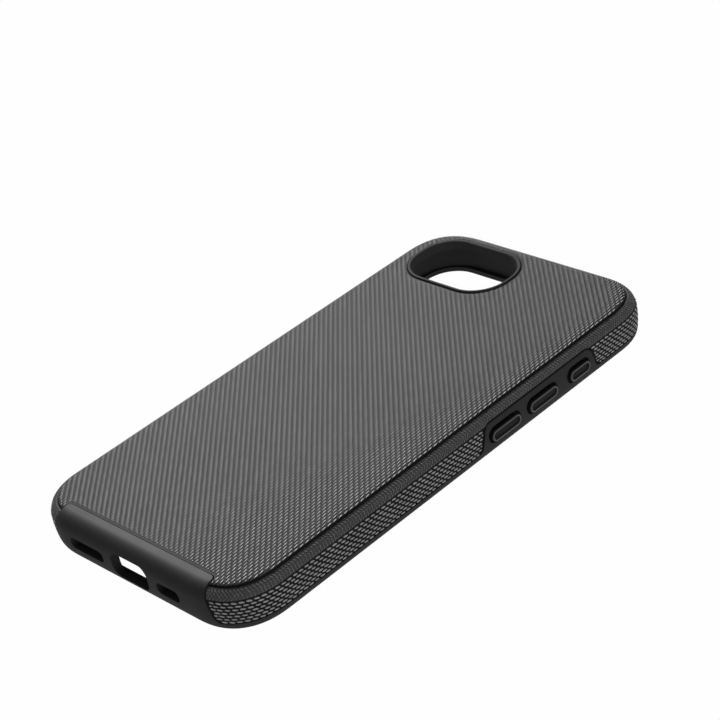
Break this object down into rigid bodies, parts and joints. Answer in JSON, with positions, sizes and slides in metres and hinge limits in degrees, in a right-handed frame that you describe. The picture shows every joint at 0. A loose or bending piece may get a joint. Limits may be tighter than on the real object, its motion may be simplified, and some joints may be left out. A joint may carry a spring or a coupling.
{
  "type": "phone case",
  "caption": "Two-layer phone case: a textured hard shell over a rubber sleeve with a lipped rim, pressable side buttons, a camera opening and port openings.",
  "frame": {"origin": "middle of the footprint, on the surface that the rim stands on with the case lying open side down", "axes": "+X towards the side with three buttons, +Y towards the camera end, +Z out of the back of the case"},
  "size_m": [0.0782, 0.1518, 0.0118],
  "materials": {
    "shell_plastic": "satin charcoal, moulded with a fine raised weave",
    "sleeve_rubber": "smooth matte black",
    "button_rubber": "smooth satin black"
  },
  "bodies": {
    "sleeve": {"inner_sleeve": "sleeve_rubber"},
    "shell": {"outer_shell": "shell_plastic"},
    "volume_down": {"volume_down_button": "button_rubber"},
    "volume_up": {"volume_up_button": "button_rubber"},
    "action": {"action_button": "button_rubber"},
    "side": {"side_button": "button_rubber"}
  },
  "joints": [
    {"name": "shell_lift", "type": "slide", "parent": "sleeve", "child": "shell", "axis": [0, 0, 1], "range_m": [0, 0.016]},
    {"name": "volume_down_press", "type": "slide", "parent": "sleeve", "child": "volume_down", "axis": [-1, 0, 0], "range_m": [0, 0.0005], "stiffness_N_per_m": 600},
    {"name": "volume_up_press", "type": "slide", "parent": "sleeve", "child": "volume_up", "axis": [-1, 0, 0], "range_m": [0, 0.0005], "stiffness_N_per_m": 600},
    {"name": "action_press", "type": "slide", "parent": "sleeve", "child": "action", "axis": [-1, 0, 0], "range_m": [0, 0.0005], "stiffness_N_per_m": 600},
    {"name": "side_press", "type": "slide", "parent": "sleeve", "child": "side", "axis": [1, 0, 0], "range_m": [0, 0.0005], "stiffness_N_per_m": 600}
  ]
}
